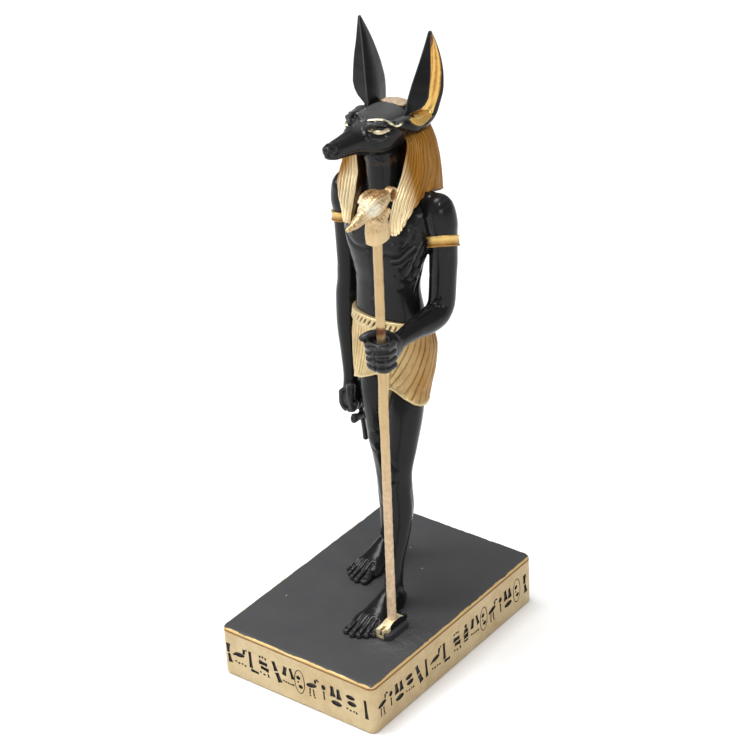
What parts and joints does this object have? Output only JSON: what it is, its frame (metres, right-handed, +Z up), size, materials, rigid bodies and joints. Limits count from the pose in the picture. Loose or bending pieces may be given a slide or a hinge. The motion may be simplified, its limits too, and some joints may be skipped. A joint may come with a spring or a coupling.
{
  "type": "standing jackal-headed figure statue",
  "caption": "Standing jackal-headed figure with wig, kilt and looped cross, holding a tall animal-headed staff, on a rectangular plinth.",
  "frame": {"origin": "centre of the plinth's underside", "axes": "+Z up, -Y the way the figure faces, +X its left hand side, where it holds the staff"},
  "size_m": [0.0754, 0.11, 0.2564],
  "materials": {
    "plinth": "filled resin, matte black top, pale gold painted sides with black engraved signs",
    "figure": "filled resin, satin black body with worn gold wig, armlets and kilt",
    "sceptre": "filled resin painted pale gold"
  },
  "bodies": {
    "root": {"plinth": "plinth", "figure": "figure", "sceptre": "sceptre"}
  },
  "joints": []
}
